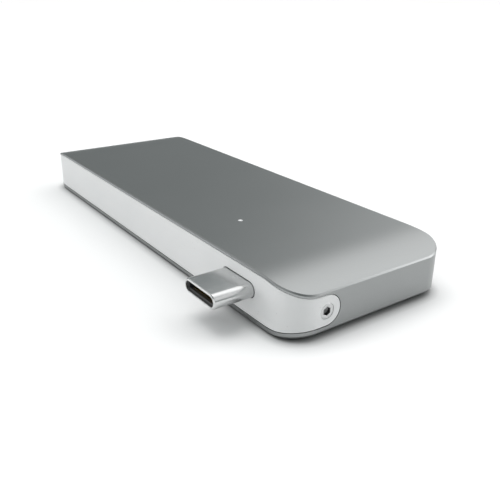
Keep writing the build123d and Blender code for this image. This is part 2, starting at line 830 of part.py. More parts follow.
tongue_c_tip = mouth_y - tongue_c_setback
tongue_c_root = tongue_c_tip - tongue_c_length


def usb_c_tongue(x):
    """A thin tongue that stands in the middle of the mouth."""
    wall = 2 * (port_wall + seat_gap)
    rear = (usb_c_front + port_wall, tongue_c_root)
    core = oval_bar(usb_c_width - wall, usb_c_height - wall, rear, x, port_z)
    z = (port_z - tongue_c_thickness / 2, port_z + tongue_c_thickness / 2)
    return core + centred(x, tongue_c_width / 2, (tongue_c_root - over, tongue_c_tip), z)


def usb_c_contacts(x):
    """Flat contacts on both faces of the tongue."""
    pins = []
    y = (tongue_c_root, tongue_c_tip - pad_setback)
    for at in row_of(pin_count, pin_pitch, x):
        for up in (-1, 1):
            face = port_z + up * tongue_c_thickness / 2
            pins.append(centred(at, pin_width / 2, y, sorted((face, face + up * pad_thickness))))
    return Compound(children=pins)


def card_socket(x, width, depth, height, mouth_width, mouth_height, base, up):
    """The plastic tray and steel cover of a memory card socket, on or under the board."""
    y = (mouth_y - depth, back_inside - tray_gap)
    roof = base + up * height
    tray_top = roof - up * port_wall
    tray = centred(x, width / 2, y, sorted((base, tray_top)))
    room = sorted((tray_top, tray_top - up * mouth_height))
    tray -= centred(x, mouth_width / 2, (y[0] + tray_back, y[1] + over), room)
    cover = centred(x, width / 2, y, sorted((tray_top, roof)))
    notch = (y[1] - cover_notch, y[1] + over)
    cover -= centred(x, mouth_width / 2 - cover_notch, notch, sorted((tray_top, roof)))
    return tray, cover


def card_contacts(x, depth, height, mouth_height, count, pitch, width, base, up):
    """A row of spring contacts that rise from the tray's floor."""
    level = base + up * (height - port_wall - mouth_height + card_pin_stand + card_pin_thickness / 2)
    lift = level + up * min(card_pin_lift, mouth_height / 2)
    start = mouth_y - depth + tray_back
    shape = [(start, level), (start + card_pin_foot, level), (start + card_pin_length, lift)]
    places = row_of(count, pitch, x)
    return Compound(children=[sheet_strip(shape, card_pin_thickness, at, width) for at in places])


# ---------------------------------------------------------------- parts on the main board
can_x = port_x["usb_a_1"]
coil_x = can_x + (can_size + coil_size) / 2 + part_gap
reader_x = port_x["sd"]
memory_x = reader_x - (reader_chip_size + memory_chip_size) / 2 - ceramic_length - 2 * part_gap
crystal_x = can_x - (can_size + crystal_length) / 2 - part_gap
power_y = light_y + light_foot_radius + part_gap / 2
ceramic_step = ceramic_width + part_gap
ceramic_y = chip_row + ceramic_width / 2


def chip(x, y, size):
    """A square chip package that stands on its solder."""
    body = centred(x, size / 2, (y, y + size), (board_top + chip_pad, board_top + chip_height))
    body = chamfer(body.faces().sort_by(Axis.Z)[-1].edges(), chip_bevel)
    inset = chip_pad_inset
    solder = (y + inset, y + size - inset)
    return body + centred(x, size / 2 - inset, solder, (board_top, board_top + chip_pad))


def shield_can():
    """A thin steel can over the hub chip."""
    top = board_top + can_height
    y = (chip_row, chip_row + can_size)
    can = centred(can_x, can_size / 2, y, (board_top, top))
    can = fillet(can.edges().filter_by(Axis.Z), can_corner)
    inner = (y[0] + can_wall, y[1] - can_wall)
    return can - centred(can_x, can_size / 2 - can_wall, inner, (board_top - over, top - can_wall))


def thermal_pad():
    """A soft pad that carries the hub chip's heat from the can to the shell."""
    y = (chip_row + pad_margin, chip_row + can_size - pad_margin)
    return centred(can_x, can_size / 2 - pad_margin, y, (board_top + can_height, ceiling))


def crystal():
    y = (chip_row, chip_row + crystal_width)
    can = centred(crystal_x, crystal_length / 2, y, (board_top, board_top + crystal_height))
    return fillet(can.edges().filter_by(Axis.Z), crystal_corner)


def inductors():
    """Two square power coils."""
    coils = []
    for y in (chip_row, chip_row + coil_size + part_gap):
        coil = centred(coil_x, coil_size / 2, (y, y + coil_size), (board_top, board_top + coil_height))
        coils.append(chamfer(coil.edges().filter_by(Axis.Z), coil_corner))
    return Compound(children=coils)


def capacitors():
    """Ceramic blocks in rows at both sides of the reader chip and beside the coils."""
    beside_reader = (reader_chip_size + ceramic_length) / 2 + part_gap
    beside_coil = coil_x + (coil_size + ceramic_length) / 2 + part_gap
    rows = {reader_x - beside_reader: 3, reader_x + beside_reader: 3, beside_coil: 5}
    z = (board_top, board_top + ceramic_height)
    parts = []
    for x, count in rows.items():
        for i in range(count):
            y = ceramic_y + i * ceramic_step
            parts.append(centred(x, ceramic_length / 2, (y - ceramic_width / 2, y + ceramic_width / 2), z))
    return Compound(children=parts)


# ---------------------------------------------------------------- build and export
parts = {
    "aluminium_shell": aluminium_shell(),
    "front_band": front_band(),
    "end_screws": end_screws(),
    "insulating_film": insulating_film(),
    "inner_frame": inner_frame(),
    "main_board": main_board(),
    "board_screws": pan_screws(board_screw_places, board_top, board_screw_length),
    "guide_screws": pan_screws(guide_screw_places, ear_top, guide_screw_length),
    "status_led": status_led(),
    "light_pipe": light_pipe(),
    "plug_shell": plug_shell(),
    "plug_insulator": plug_insulator(),
    "plug_contacts": plug_contacts(),
    "plug_latches": plug_latches(),
    "plug_card": plug_card(),
    "plug_carriage": plug_carriage(),
    "plug_guide": plug_guide(),
    "friction_spring": friction_spring(),
    "flex_cable": flex_cable(),
    "flex_connector": flex_connector(),
    "usb_c_shell": usb_c_shell(port_x["usb_c"]),
    "usb_c_tongue": usb_c_tongue(port_x["usb_c"]),
    "usb_c_contacts": usb_c_contacts(port_x["usb_c"]),
    "hub_chip": chip(can_x, chip_row + (can_size - hub_chip_size) / 2, hub_chip_size),
    "shield_can": shield_can(),
    "thermal_pad": thermal_pad(),
    "reader_chip": chip(reader_x, chip_row, reader_chip_size),
    "power_chip": chip(light_x, power_y, power_chip_size),
    "memory_chip": chip(memory_x, chip_row, memory_chip_size),
    "crystal": crystal(),
    "inductors": inductors(),
    "capacitors": capacitors(),
}
for number in (1, 2):
    x = port_x[f"usb_a_{number}"]
    parts[f"usb_a_shell_{number}"] = usb_a_shell(x)
    parts[f"usb_a_tongue_{number}"] = usb_a_tongue(x)
    parts[f"usb_a_contacts_{number}"] = usb_a_contacts(x)
sd_sizes = (sd_width, sd_depth, sd_height, sd_mouth_width, sd_mouth_height, sd_base, 1)
micro_sizes = (micro_width, micro_depth, micro_height, micro_mouth_width, micro_mouth_height, micro_top, -1)
sd_row = (sd_depth, sd_height, sd_mouth_height, sd_pins, sd_pitch, sd_pin_width, sd_base, 1)
micro_row = (
    micro_depth, micro_height, micro_mouth_height, micro_pins, micro_pitch, micro_pin_width, micro_top, -1
)
for card, sizes, row in (("sd", sd_sizes, sd_row), ("microsd", micro_sizes, micro_row)):
    parts[f"{card}_tray"], parts[f"{card}_cover"] = card_socket(port_x["sd"], *sizes)
    parts[f"{card}_contacts"] = card_contacts(port_x["sd"], *row)

os.makedirs("parts", exist_ok=True)
for name, shape in parts.items():
    export_step(shape, f"parts/{name}.step")
print(len(parts), "nodes")
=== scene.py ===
# %% [markdown]
# # A slim USB-C hub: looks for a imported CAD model
#
# The object is a laptop hub about as long as a finger: a grey aluminium shell, a white band that
# closes its front and wraps round both corners, and a steel USB-C plug that slides a little way in
# and out. All shapes and sizes come from the CAD frame. This file gives them their finish: it
# rounds edges that a solid model leaves sharp, builds the rows of contacts and the screw threads
# with Geometry Nodes, and paints every piece with a procedural material.
#
# Everything is in metres, with the hub's underside on the floor at height 0.

# %% Load the frame
import json
import math

import bmesh
import bpy
from mathutils import Matrix, Vector

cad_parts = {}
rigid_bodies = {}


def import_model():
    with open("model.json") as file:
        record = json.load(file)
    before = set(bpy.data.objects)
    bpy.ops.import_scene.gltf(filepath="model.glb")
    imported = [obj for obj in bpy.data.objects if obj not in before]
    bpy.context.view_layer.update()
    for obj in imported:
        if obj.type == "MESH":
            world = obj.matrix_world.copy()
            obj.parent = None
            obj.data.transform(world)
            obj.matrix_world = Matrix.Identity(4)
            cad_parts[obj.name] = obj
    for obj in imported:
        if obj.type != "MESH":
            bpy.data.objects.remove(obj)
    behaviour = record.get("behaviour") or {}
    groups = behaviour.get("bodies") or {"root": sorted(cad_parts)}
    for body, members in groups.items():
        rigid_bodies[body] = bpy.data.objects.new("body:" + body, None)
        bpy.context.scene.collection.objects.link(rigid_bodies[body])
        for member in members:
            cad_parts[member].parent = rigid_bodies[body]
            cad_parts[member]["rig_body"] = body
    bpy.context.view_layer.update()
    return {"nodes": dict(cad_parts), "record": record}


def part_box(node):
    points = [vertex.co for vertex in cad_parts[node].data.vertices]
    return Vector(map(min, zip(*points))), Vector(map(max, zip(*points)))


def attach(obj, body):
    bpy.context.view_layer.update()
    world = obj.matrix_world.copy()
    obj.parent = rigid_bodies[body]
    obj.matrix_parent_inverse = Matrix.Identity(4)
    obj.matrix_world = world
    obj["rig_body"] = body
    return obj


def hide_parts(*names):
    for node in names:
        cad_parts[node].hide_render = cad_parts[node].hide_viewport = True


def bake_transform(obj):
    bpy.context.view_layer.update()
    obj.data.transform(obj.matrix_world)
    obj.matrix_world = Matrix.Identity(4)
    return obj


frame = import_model()
cad = frame["nodes"]
MM = 0.001

# %% [markdown]
# ## Camera
#
# The hub is seen from its front right corner, from a little above, with a lens that is close enough
# to make the far end clearly smaller than the near one. A camera could be aimed with a Track To
# constraint. Here it is placed by its two angles, because they are what describe a viewpoint:
# azimuth turns it round the object, elevation lifts it, and a slight roll tilts the picture.

# %% Camera
# The lens and the width of its sensor are in millimetres, as on a real camera, angles in radians.
LENS = 44.07
SENSOR = 36.0
AZIMUTH = 0.9518
ELEVATION = 0.4071
ROLL = 0.0106
EYE = Vector((100.04, -61.44, 45.26)) * MM
NEAREST = 5 * MM
FARTHEST = 20.0

camera_data = bpy.data.cameras.new("camera")
camera_data.lens = LENS
camera_data.sensor_width = SENSOR
camera_data.clip_start = NEAREST
camera_data.clip_end = FARTHEST
camera = bpy.data.objects.new("camera", camera_data)
turn = Matrix.Rotation(AZIMUTH, 4, "Z") @ Matrix.Rotation(math.pi / 2 - ELEVATION, 4, "X")
camera.matrix_world = Matrix.Translation(EYE) @ turn @ Matrix.Rotation(ROLL, 4, "Z")
bpy.context.scene.collection.objects.link(camera)
bpy.context.scene.camera = camera
bpy.context.scene.view_settings.view_transform = "Standard"
print("camera distance in mm:", round(EYE.length / MM, 1))


# %% [markdown]
# ## Small helpers for node trees
#
# Every material and Geometry Nodes tree below is built from code. A short helper keeps that
# readable: it adds a node, and each of its inputs gets either a value or a link from another node.
# The sums and blends that come back all the time have helpers of their own.

# %% Node helpers
def add(tree, kind, inputs=None, **settings):
    """A new node. Settings are its own properties, inputs its socket values by name or number."""
    node = tree.nodes.new(kind)
    for name, value in settings.items():
        setattr(node, name, value)
    for name, value in (inputs or {}).items():
        if isinstance(value, bpy.types.NodeSocket):
            tree.links.new(value, node.inputs[name])
        else:
            node.inputs[name].default_value = value
    return node


def math_node(tree, operation, a, b=0.0, clamp=False):
    """The result of one operation on two values."""
    node = add(tree, "ShaderNodeMath", {0: a, 1: b}, operation=operation, use_clamp=clamp)
    return node.outputs[0]


def remap(tree, value, low, high, to_low=0.0, to_high=1.0):
    """The value moved from one range to another, with its ends held."""
    inputs = {"Value": value, "From Min": low, "From Max": high}
    inputs.update({"To Min": to_low, "To Max": to_high})
    return add(tree, "ShaderNodeMapRange", inputs, clamp=True).outputs["Result"]


def blend_colour(tree, share, first, second):
    """First where share is 0, second where it is 1. Sockets 6 and 7 are the node's two colours."""
    inputs = {"Factor": share, 6: first, 7: second}
    return add(tree, "ShaderNodeMix", inputs, data_type="RGBA").outputs[2]


# %% [markdown]
# ## Floor and studio light
#
# A small product like this is shown on a white paper sweep under large soft boxes. Paper lit that
# brightly is nearly full white, so only the deepest part of a shadow shows: a dark line where the
# hub nearly touches the floor, and a soft smudge under the plug. A shadow catcher would need
# compositing. Here the floor is a diffuse sheet, which the aluminium can also mirror from below.
# Its material does two things more. The paper is near white where it is looked at, and greyer
# where it only bounces light onto the hub, which would otherwise lose its shaded side. And an
# Ambient Occlusion node deepens the shade close to the hub, where the soft lights leave it pale.

# %% Floor
FLOOR_HALF = 1.6
PAPER_SEEN = (0.99, 0.99, 0.99, 1.0)
PAPER_FELT = (0.55, 0.55, 0.55, 1.0)
UNLIT = (0.0, 0.0, 0.0, 1.0)
# How far openness is measured, and the power it is raised to.
CLOSE_BY = (1.8 * MM, 0.60)
AROUND = (8.5 * MM, 0.14)
OPENNESS_SAMPLES = 16

floor_mesh = bpy.data.meshes.new("floor")
corners = [(x * FLOOR_HALF, y * FLOOR_HALF, 0.0) for x, y in ((-1, -1), (1, -1), (1, 1), (-1, 1))]
floor_mesh.from_pydata(corners, [], [(0, 1, 2, 3)])
floor = bpy.data.objects.new("floor", floor_mesh)
bpy.context.scene.collection.objects.link(floor)


def openness(tree, reach, power):
    """How free the paper is of things near it: 1 in the open, falling beside and under the hub."""
    inputs = {"Distance": reach}
    around = add(tree, "ShaderNodeAmbientOcclusion", inputs, samples=OPENNESS_SAMPLES)
    return math_node(tree, "POWER", around.outputs["AO"], power)


paper = bpy.data.materials.new("paper")
paper.use_nodes = True
tree = paper.node_tree
tree.nodes.clear()
ray = add(tree, "ShaderNodeLightPath")
looked_at = math_node(tree, "MAXIMUM", ray.outputs["Is Camera Ray"], ray.outputs["Is Glossy Ray"])
looked_at = math_node(tree, "MAXIMUM", looked_at, ray.outputs["Is Transmission Ray"])
open_air = math_node(tree, "MULTIPLY", openness(tree, *CLOSE_BY), openness(tree, *AROUND))
seen = blend_colour(tree, open_air, UNLIT, PAPER_SEEN)
shade = blend_colour(tree, looked_at, PAPER_FELT, seen)
sheet = add(tree, "ShaderNodeBsdfDiffuse", {"Color": shade})
add(tree, "ShaderNodeOutputMaterial", {"Surface": sheet.outputs[0]})
floor_mesh.materials.append(paper)
print("floor side in m:", 2 * FLOOR_HALF)

# %% World
# The camera sees plain white. Everything else sees a nearly dark studio with soft round lights,
# each given by the direction it comes from, how far it spreads and how bright it is. The dim gap
# between them, low down behind the far end, is what the level top mirrors. It is a little cooler
# than the lights.
DIM = 0.26
COOL = (0.885, 1.0, 1.005, 1.0)
WHITE = (1.0, 1.0, 1.0, 1.0)
SOFT_LIGHTS = {
    # name: (azimuth from +X, elevation, spread), all in degrees, and brightness
    "high_left": ((216.0, 60.0, 30.0), 0.65),
    "high_front": ((294.0, 60.0, 28.0), 0.45),
    "right_back": ((45.0, 30.0, 28.0), 0.75),
    "back_wide": ((100.0, 40.0, 40.0), 1.35),
    "left_back": ((145.0, 40.0, 22.0), 0.15),
    "left_front": ((225.0, 8.0, 28.0), 2.2),
    "right_front": ((300.0, 12.0, 28.0), 1.0),
    "back_low": ((60.0, 12.0, 22.0), 2.9),
    "top_left": ((180.0, 75.0, 28.0), 2.7),
    "back_right": ((80.0, 50.0, 24.0), 0.3),
}


def soft_light(tree, direction, place, strength):
    """A round light in the sky, even in its middle third and fading out towards its edge."""
    azimuth, elevation, spread = [math.radians(angle) for angle in place]
    level = math.cos(elevation)
    centre = (math.cos(azimuth) * level, math.sin(azimuth) * level, math.sin(elevation))
    near = add(tree, "ShaderNodeVectorMath", {0: direction, 1: centre}, operation="DOT_PRODUCT")
    inputs = {"Value": near.outputs["Value"], "To Max": strength}
    inputs.update({"From Min": math.cos(spread), "From Max": math.cos(spread / 3)})
    fade = add(tree, "ShaderNodeMapRange", inputs, interpolation_type="SMOOTHSTEP")
    return fade.outputs["Result"]


world = bpy.data.worlds.new("studio")
bpy.context.scene.world = world
world.use_nodes = True
tree = world.node_tree
tree.nodes.clear()
direction = add(tree, "ShaderNodeTexCoord").outputs["Generated"]
glow = DIM
for place, strength in SOFT_LIGHTS.values():
    glow = math_node(tree, "ADD", soft_light(tree, direction, place, strength), glow)
ray = add(tree, "ShaderNodeLightPath")
plain = math_node(tree, "MAXIMUM", ray.outputs["Is Camera Ray"], ray.outputs["Is Transmission Ray"])
lit = add(tree, "ShaderNodeMix", {"Factor": plain, 2: glow, 3: 1.0})
hue = blend_colour(tree, lit.outputs[0], COOL, WHITE)
background = add(tree, "ShaderNodeBackground", {"Color": hue, "Strength": lit.outputs[0]})
add(tree, "ShaderNodeOutputWorld", {"Surface": background.outputs[0]})
print("soft lights:", sorted(SOFT_LIGHTS))

# %% [markdown]
# ## Effects that several materials share
#
# Real surfaces are never one flat colour. Blasted metal has a fine pitted grain, moulded plastic
# has the even texture of its mould, sheet metal keeps the lines it was drawn or rolled with,
# handling leaves faint patches where the sheen changes, and edges are a little brighter because
# they are rubbed or cut last. Images could carry all this, but they need unwrapping and blur close
# up. Node groups work at any scale, and one group serves many materials with different values.
# Each group reads Object coordinates, which here are metres from the middle of the underside.

# %% Group helper
def new_group(name, inputs, outputs):
    """An empty shader node group, the node that gives its inputs and the one for its outputs."""
    group = bpy.data.node_groups.new(name, "ShaderNodeTree")
    for label, value in inputs.items():
        socket = group.interface.new_socket(label, in_out="INPUT", socket_type="NodeSocketFloat")
        socket.default_value = value
    for label in outputs:
        group.interface.new_socket(label, in_out="OUTPUT", socket_type="NodeSocketFloat")
    return group, group.nodes.new("NodeGroupInput"), group.nodes.new("NodeGroupOutput")


def noise(tree, place, scale, detail=2.0, roughness=0.5):
    """Smooth noise around one half, with scale waves per metre."""
    inputs = {"Vector": place, "Scale": scale, "Detail": detail, "Roughness": roughness}
    return add(tree, "ShaderNodeTexNoise", inputs).outputs["Fac"]


# %% Group: blasted grain
# Small glass beads leave pits of a tenth of a millimetre. Voronoi cells give separate pits, and a
# finer noise breaks them up.
SPECKS_PER_PIT = 2.3
PIT_SHARE = 0.6
GRAIN, take, give = new_group("blasted_grain", {"Pit Size": 0.12 * MM}, ["Height", "Tone"])
place = add(GRAIN, "ShaderNodeTexCoord").outputs["Object"]
per_metre = math_node(GRAIN, "DIVIDE", 1.0, take.outputs["Pit Size"])
pits = add(GRAIN, "ShaderNodeTexVoronoi", {"Vector": place, "Scale": per_metre, "Randomness": 1.0})
finer = math_node(GRAIN, "MULTIPLY", per_metre, SPECKS_PER_PIT)
speck = noise(GRAIN, place, finer, 3.0, 0.6)
depth = math_node(GRAIN, "MULTIPLY", pits.outputs["Distance"], PIT_SHARE)
GRAIN.links.new(math_node(GRAIN, "ADD", depth, speck), give.inputs["Height"])
GRAIN.links.new(remap(GRAIN, speck, 0.3, 0.7), give.inputs["Tone"])
print("group", GRAIN.name, "with", len(GRAIN.nodes), "nodes")

# %% Group: moulded texture
# The steel mould of a plastic part is spark eroded, which leaves soft bumps of about 0.2 mm.
CLOUDS_PER_METRE = 70.0
MOULD, take, give = new_group("moulded_texture", {"Bump Size": 0.20 * MM}, ["Height", "Cloud"])
place = add(MOULD, "ShaderNodeTexCoord").outputs["Object"]
per_metre = math_node(MOULD, "DIVIDE", 1.0, take.outputs["Bump Size"])
MOULD.links.new(noise(MOULD, place, per_metre, 2.0, 0.55), give.inputs["Height"])
cloud = noise(MOULD, place, CLOUDS_PER_METRE, 3.0, 0.5)
MOULD.links.new(remap(MOULD, cloud, 0.35, 0.65), give.inputs["Cloud"])
print("group", MOULD.name, "with", len(MOULD.nodes), "nodes")

# %% Group: drawn lines
# Metal that is drawn or rolled keeps fine lines along its length. The lines are noise squeezed
# across them and stretched along them. Along X, Y and Z set how many waves a metre has.
DRAWN, take, give = new_group(
    "drawn_lines", {"Along X": 9000.0, "Along Y": 300.0, "Along Z": 9000.0}, ["Height", "Tone"]
)
place = add(DRAWN, "ShaderNodeTexCoord").outputs["Object"]
waves = add(DRAWN, "ShaderNodeCombineXYZ", {i: take.outputs[i] for i in range(3)})
squeezed = add(DRAWN, "ShaderNodeVectorMath", {0: place, 1: waves.outputs[0]}, operation="MULTIPLY")
lines = noise(DRAWN, squeezed.outputs[0], 1.0, 3.0, 0.65)
DRAWN.links.new(lines, give.inputs["Height"])
DRAWN.links.new(remap(DRAWN, lines, 0.35, 0.65), give.inputs["Tone"])
print("group", DRAWN.name, "with", len(DRAWN.nodes), "nodes")

# %% Group: handling
# Touch leaves patches of a few millimetres where the sheen is a little different, and the odd fine
# speck of dust.
MOTES_PER_METRE = 900.0
MOTE_EDGE, MOTE_MIDDLE = 0.11, 0.05
TOUCH, take, give = new_group("handling", {"Patch Size": 9 * MM}, ["Patches", "Dust"])
place = add(TOUCH, "ShaderNodeTexCoord").outputs["Object"]
per_metre = math_node(TOUCH, "DIVIDE", 1.0, take.outputs["Patch Size"])
patches = noise(TOUCH, place, per_metre, 4.0, 0.6)
TOUCH.links.new(remap(TOUCH, patches, 0.4, 0.7), give.inputs["Patches"])
motes = add(TOUCH, "ShaderNodeTexVoronoi", {"Vector": place, "Scale": MOTES_PER_METRE})
dust = remap(TOUCH, motes.outputs["Distance"], MOTE_EDGE, MOTE_MIDDLE)
TOUCH.links.new(dust, give.inputs["Dust"])
print("group", TOUCH.name, "with", len(TOUCH.nodes), "nodes")

# %% Group: edge wear
# An edge is where the surface turns within a short reach. The Bevel node gives the normal that a
# rounded edge would have, so the more it differs from the true one, the nearer the edge is.
EDGE_REACH = 0.16 * MM
EDGE_STARTS, EDGE_FULL = 0.995, 0.90
NICKS_PER_METRE = 1500.0
WEAR, take, give = new_group("edge_wear", {"Amount": 1.0}, ["Edge"])
true_normal = add(WEAR, "ShaderNodeNewGeometry").outputs["Normal"]
rounded = add(WEAR, "ShaderNodeBevel", {"Radius": EDGE_REACH}, samples=6).outputs["Normal"]
alike = add(WEAR, "ShaderNodeVectorMath", {0: true_normal, 1: rounded}, operation="DOT_PRODUCT")
edge = remap(WEAR, alike.outputs["Value"], EDGE_STARTS, EDGE_FULL)
place = add(WEAR, "ShaderNodeTexCoord").outputs["Object"]
nicks = noise(WEAR, place, NICKS_PER_METRE, 2.0, 0.6)
broken = remap(WEAR, nicks, 0.3, 0.6, 0.55, 1.0)
worn = math_node(WEAR, "MULTIPLY", edge, broken)
shown = math_node(WEAR, "MULTIPLY", worn, take.outputs["Amount"], clamp=True)
WEAR.links.new(shown, give.inputs["Edge"])
print("group", WEAR.name, "with", len(WEAR.nodes), "nodes")


# %% Material helpers
def new_material(name):
    """A material with a Principled shader. Returns it, its tree and the shader."""
    material = bpy.data.materials.new(name)
    material.use_nodes = True
    return material, material.node_tree, material.node_tree.nodes["Principled BSDF"]


def effect(tree, group, **values):
    """The outputs of a shared group, placed in a material with its own values."""
    node = add(tree, "ShaderNodeGroup", node_tree=group)
    for name, value in values.items():
        node.inputs[name.replace("_", " ")].default_value = value
    return node.outputs


def mix_values(tree, share, first, second):
    """First where share is 0, second where it is 1."""
    return remap(tree, share, 0.0, 1.0, first, second)


def relief(tree, shader, height, strength, distance):
    """Lets a height in metres times distance bend the light."""
    inputs = {"Height": height, "Strength": strength, "Distance": distance}
    bump = add(tree, "ShaderNodeBump", inputs)
    tree.links.new(bump.outputs["Normal"], shader.inputs["Normal"])


def grey(value, cool=0.0):
    """A grey colour, cooler when its green and blue are a little above its red."""
    return (value, value + cool, value + cool, 1.0)


finish = {}

# %% [markdown]
# ## The aluminium
#
# The shell is extruded aluminium, blasted with glass beads and anodised grey. Blasting makes its
# reflections wide and soft, anodising tints them. A mirror-like metal would show the lamps as sharp
# shapes, so the roughness is high enough to melt them into one gradient. The cut edges are a little
# lighter, the pits make a fine grain, and handling changes the sheen by a few percent.

# %% Aluminium
SHELL_GREY = (0.297, 0.307, 0.307, 1.0)
SHELL_LIGHT = (0.325, 0.335, 0.335, 1.0)
SHELL_EDGE = (0.38, 0.39, 0.39, 1.0)
EDGE_ROUGHNESS = 0.32

material, tree, shader = new_material("shell_aluminium")
grain = effect(tree, GRAIN, Pit_Size=0.13 * MM)
touch = effect(tree, TOUCH, Patch_Size=11 * MM)
wear = effect(tree, WEAR, Amount=0.7)
body_colour = blend_colour(tree, grain["Tone"], SHELL_GREY, SHELL_LIGHT)
edge_colour = blend_colour(tree, wear["Edge"], body_colour, SHELL_EDGE)
tree.links.new(edge_colour, shader.inputs["Base Color"])
sheen = mix_values(tree, touch["Patches"], 0.350, 0.362)
rough = add(tree, "ShaderNodeMix", {"Factor": wear["Edge"], 2: sheen, 3: EDGE_ROUGHNESS})
tree.links.new(rough.outputs[0], shader.inputs["Roughness"])
shader.inputs["Metallic"].default_value = 1.0
relief(tree, shader, grain["Height"], 0.25, 0.01 * MM)
finish["shell_aluminium"] = material
print(material.name, "has", len(tree.nodes), "nodes")

# %% [markdown]
# ## The white band
#
# The band is satin white plastic from a textured mould. White plastic lets light in a little way
# and scatters it, but at this size that only softens shadows, and subsurface scattering is slow and
# doesn't survive every exporter. So it is an opaque near-white with the texture of its mould, a
# slight cloudiness, and edges that are a trace brighter.

# %% White plastic
BAND_WHITE = grey(0.900, 0.010)
BAND_LIGHT = grey(0.930, 0.006)
BAND_EDGE = grey(0.92)
DUST = grey(0.82)
BAND_IOR = 1.49

material, tree, shader = new_material("band_plastic")
mould = effect(tree, MOULD, Bump_Size=0.18 * MM)
touch = effect(tree, TOUCH, Patch_Size=7 * MM)
wear = effect(tree, WEAR, Amount=0.5)
cloudy = blend_colour(tree, mould["Cloud"], BAND_WHITE, BAND_LIGHT)
dusty = blend_colour(tree, touch["Dust"], cloudy, DUST)
rubbed = blend_colour(tree, wear["Edge"], dusty, BAND_EDGE)
tree.links.new(rubbed, shader.inputs["Base Color"])
sheen = mix_values(tree, touch["Patches"], 0.38, 0.46)
tree.links.new(sheen, shader.inputs["Roughness"])
shader.inputs["IOR"].default_value = BAND_IOR
relief(tree, shader, mould["Height"], 0.2, 0.01 * MM)
finish["band_plastic"] = material
print(material.name, "has", len(tree.nodes), "nodes")


# %% [markdown]
# ## Steel, gold and nickel
#
# The plug is a steel tube drawn over a mandrel and nickel plated, so its lines run along it. The
# socket shells are folded from rolled sheet, the screws are turned on a lathe, and the contacts are
# stamped from bronze and plated with gold. They differ in colour, sheen and the direction of their
# lines, so one function makes them all.

# %% Metals
# Painted shade in hollows: the dark colour, and how far an Ambient Occlusion node looks for walls.
HOLLOW_SHADE = grey(0.04)
HOLLOW_SHADE_REACH = 0.9 * MM


def worked_metal(name, colour, bright, roughness, lines, shaded_hollows=False):
    """A metal with lines left by its making, in waves per metre along X, Y and Z.

    With shaded hollows, it is painted darker in its hollows: painted shade.
    """
    material, tree, shader = new_material(name)
    drawn = effect(tree, DRAWN, Along_X=lines[0], Along_Y=lines[1], Along_Z=lines[2])
    touch = effect(tree, TOUCH, Patch_Size=4 * MM)
    wear = effect(tree, WEAR, Amount=0.6)
    lined = blend_colour(tree, drawn["Tone"], colour, bright)
    rubbed = blend_colour(tree, wear["Edge"], lined, bright)
    # Painted shade: where the Ambient Occlusion node finds walls close by, as in a socket, the
    # colour darkens.
    if shaded_hollows:
        reach = {"Distance": HOLLOW_SHADE_REACH}
        hollow = add(tree, "ShaderNodeAmbientOcclusion", reach, samples=8, only_local=True)
        unshaded = remap(tree, hollow.outputs["AO"], 0.45, 0.95)
        rubbed = blend_colour(tree, unshaded, HOLLOW_SHADE, rubbed)
    tree.links.new(rubbed, shader.inputs["Base Color"])
    spread = {2: roughness - 0.03, 3: roughness + 0.04}
    uneven = add(tree, "ShaderNodeMix", {"Factor": drawn["Tone"], **spread})
    smeared = math_node(tree, "MULTIPLY", touch["Patches"], 0.05)
    roughened = math_node(tree, "ADD", uneven.outputs[0], smeared)
    tree.links.new(roughened, shader.inputs["Roughness"])
    shader.inputs["Metallic"].default_value = 1.0
    relief(tree, shader, drawn["Height"], 0.09, 0.006 * MM)
    finish[name] = material


GOLD = (0.74, 0.52, 0.21, 1.0)
BRIGHT_GOLD = (0.88, 0.66, 0.32, 1.0)
TURNED = (3000.0, 7000.0, 7000.0)
worked_metal("plug_steel", grey(0.57, 0.008), grey(0.63, 0.004), 0.20, (9000.0, 260.0, 9000.0))
worked_metal("sheet_steel", grey(0.56, 0.006), grey(0.66, 0.004), 0.27, (400.0, 7000.0, 7000.0))
# The screws' sockets get painted shade.
worked_metal("screw_steel", grey(0.50, 0.008), grey(0.62, 0.006), 0.30, TURNED, shaded_hollows=True)
worked_metal("contact_gold", GOLD, BRIGHT_GOLD, 0.22, (9000.0, 600.0, 9000.0))
print("metals:", [name for name in finish if name not in ("shell_aluminium", "band_plastic")])


# %% [markdown]
# ## Moulded plastics inside
#
# The cores of the sockets and of the plug, the frame and the chips are moulded from filled plastic,
# which is duller than the band. They share the mould's texture and differ in colour and sheen.

# %% Plastics
def moulded_plastic(name, colour, light, roughness, bump_size=0.16, wear_amount=0.4):
    """A dull plastic between two tones, with mould bumps of a size in millimetres."""
    material, tree, shader = new_material(name)
    mould = effect(tree, MOULD, Bump_Size=bump_size * MM)
    touch = effect(tree, TOUCH, Patch_Size=5 * MM)
    wear = effect(tree, WEAR, Amount=wear_amount)
    cloudy = blend_colour(tree, mould["Cloud"], colour, light)
    pale_edge = [min(1.0, 1.5 * channel + 0.01) for channel in light[:3]] + [1.0]
    rubbed = blend_colour(tree, wear["Edge"], cloudy, pale_edge)
    tree.links.new(rubbed, shader.inputs["Base Color"])
    sheen = mix_values(tree, touch["Patches"], roughness - 0.04, roughness + 0.06)
    tree.links.new(sheen, shader.inputs["Roughness"])
    relief(tree, shader, mould["Height"], 0.25, 0.012 * MM)
    finish[name] = material


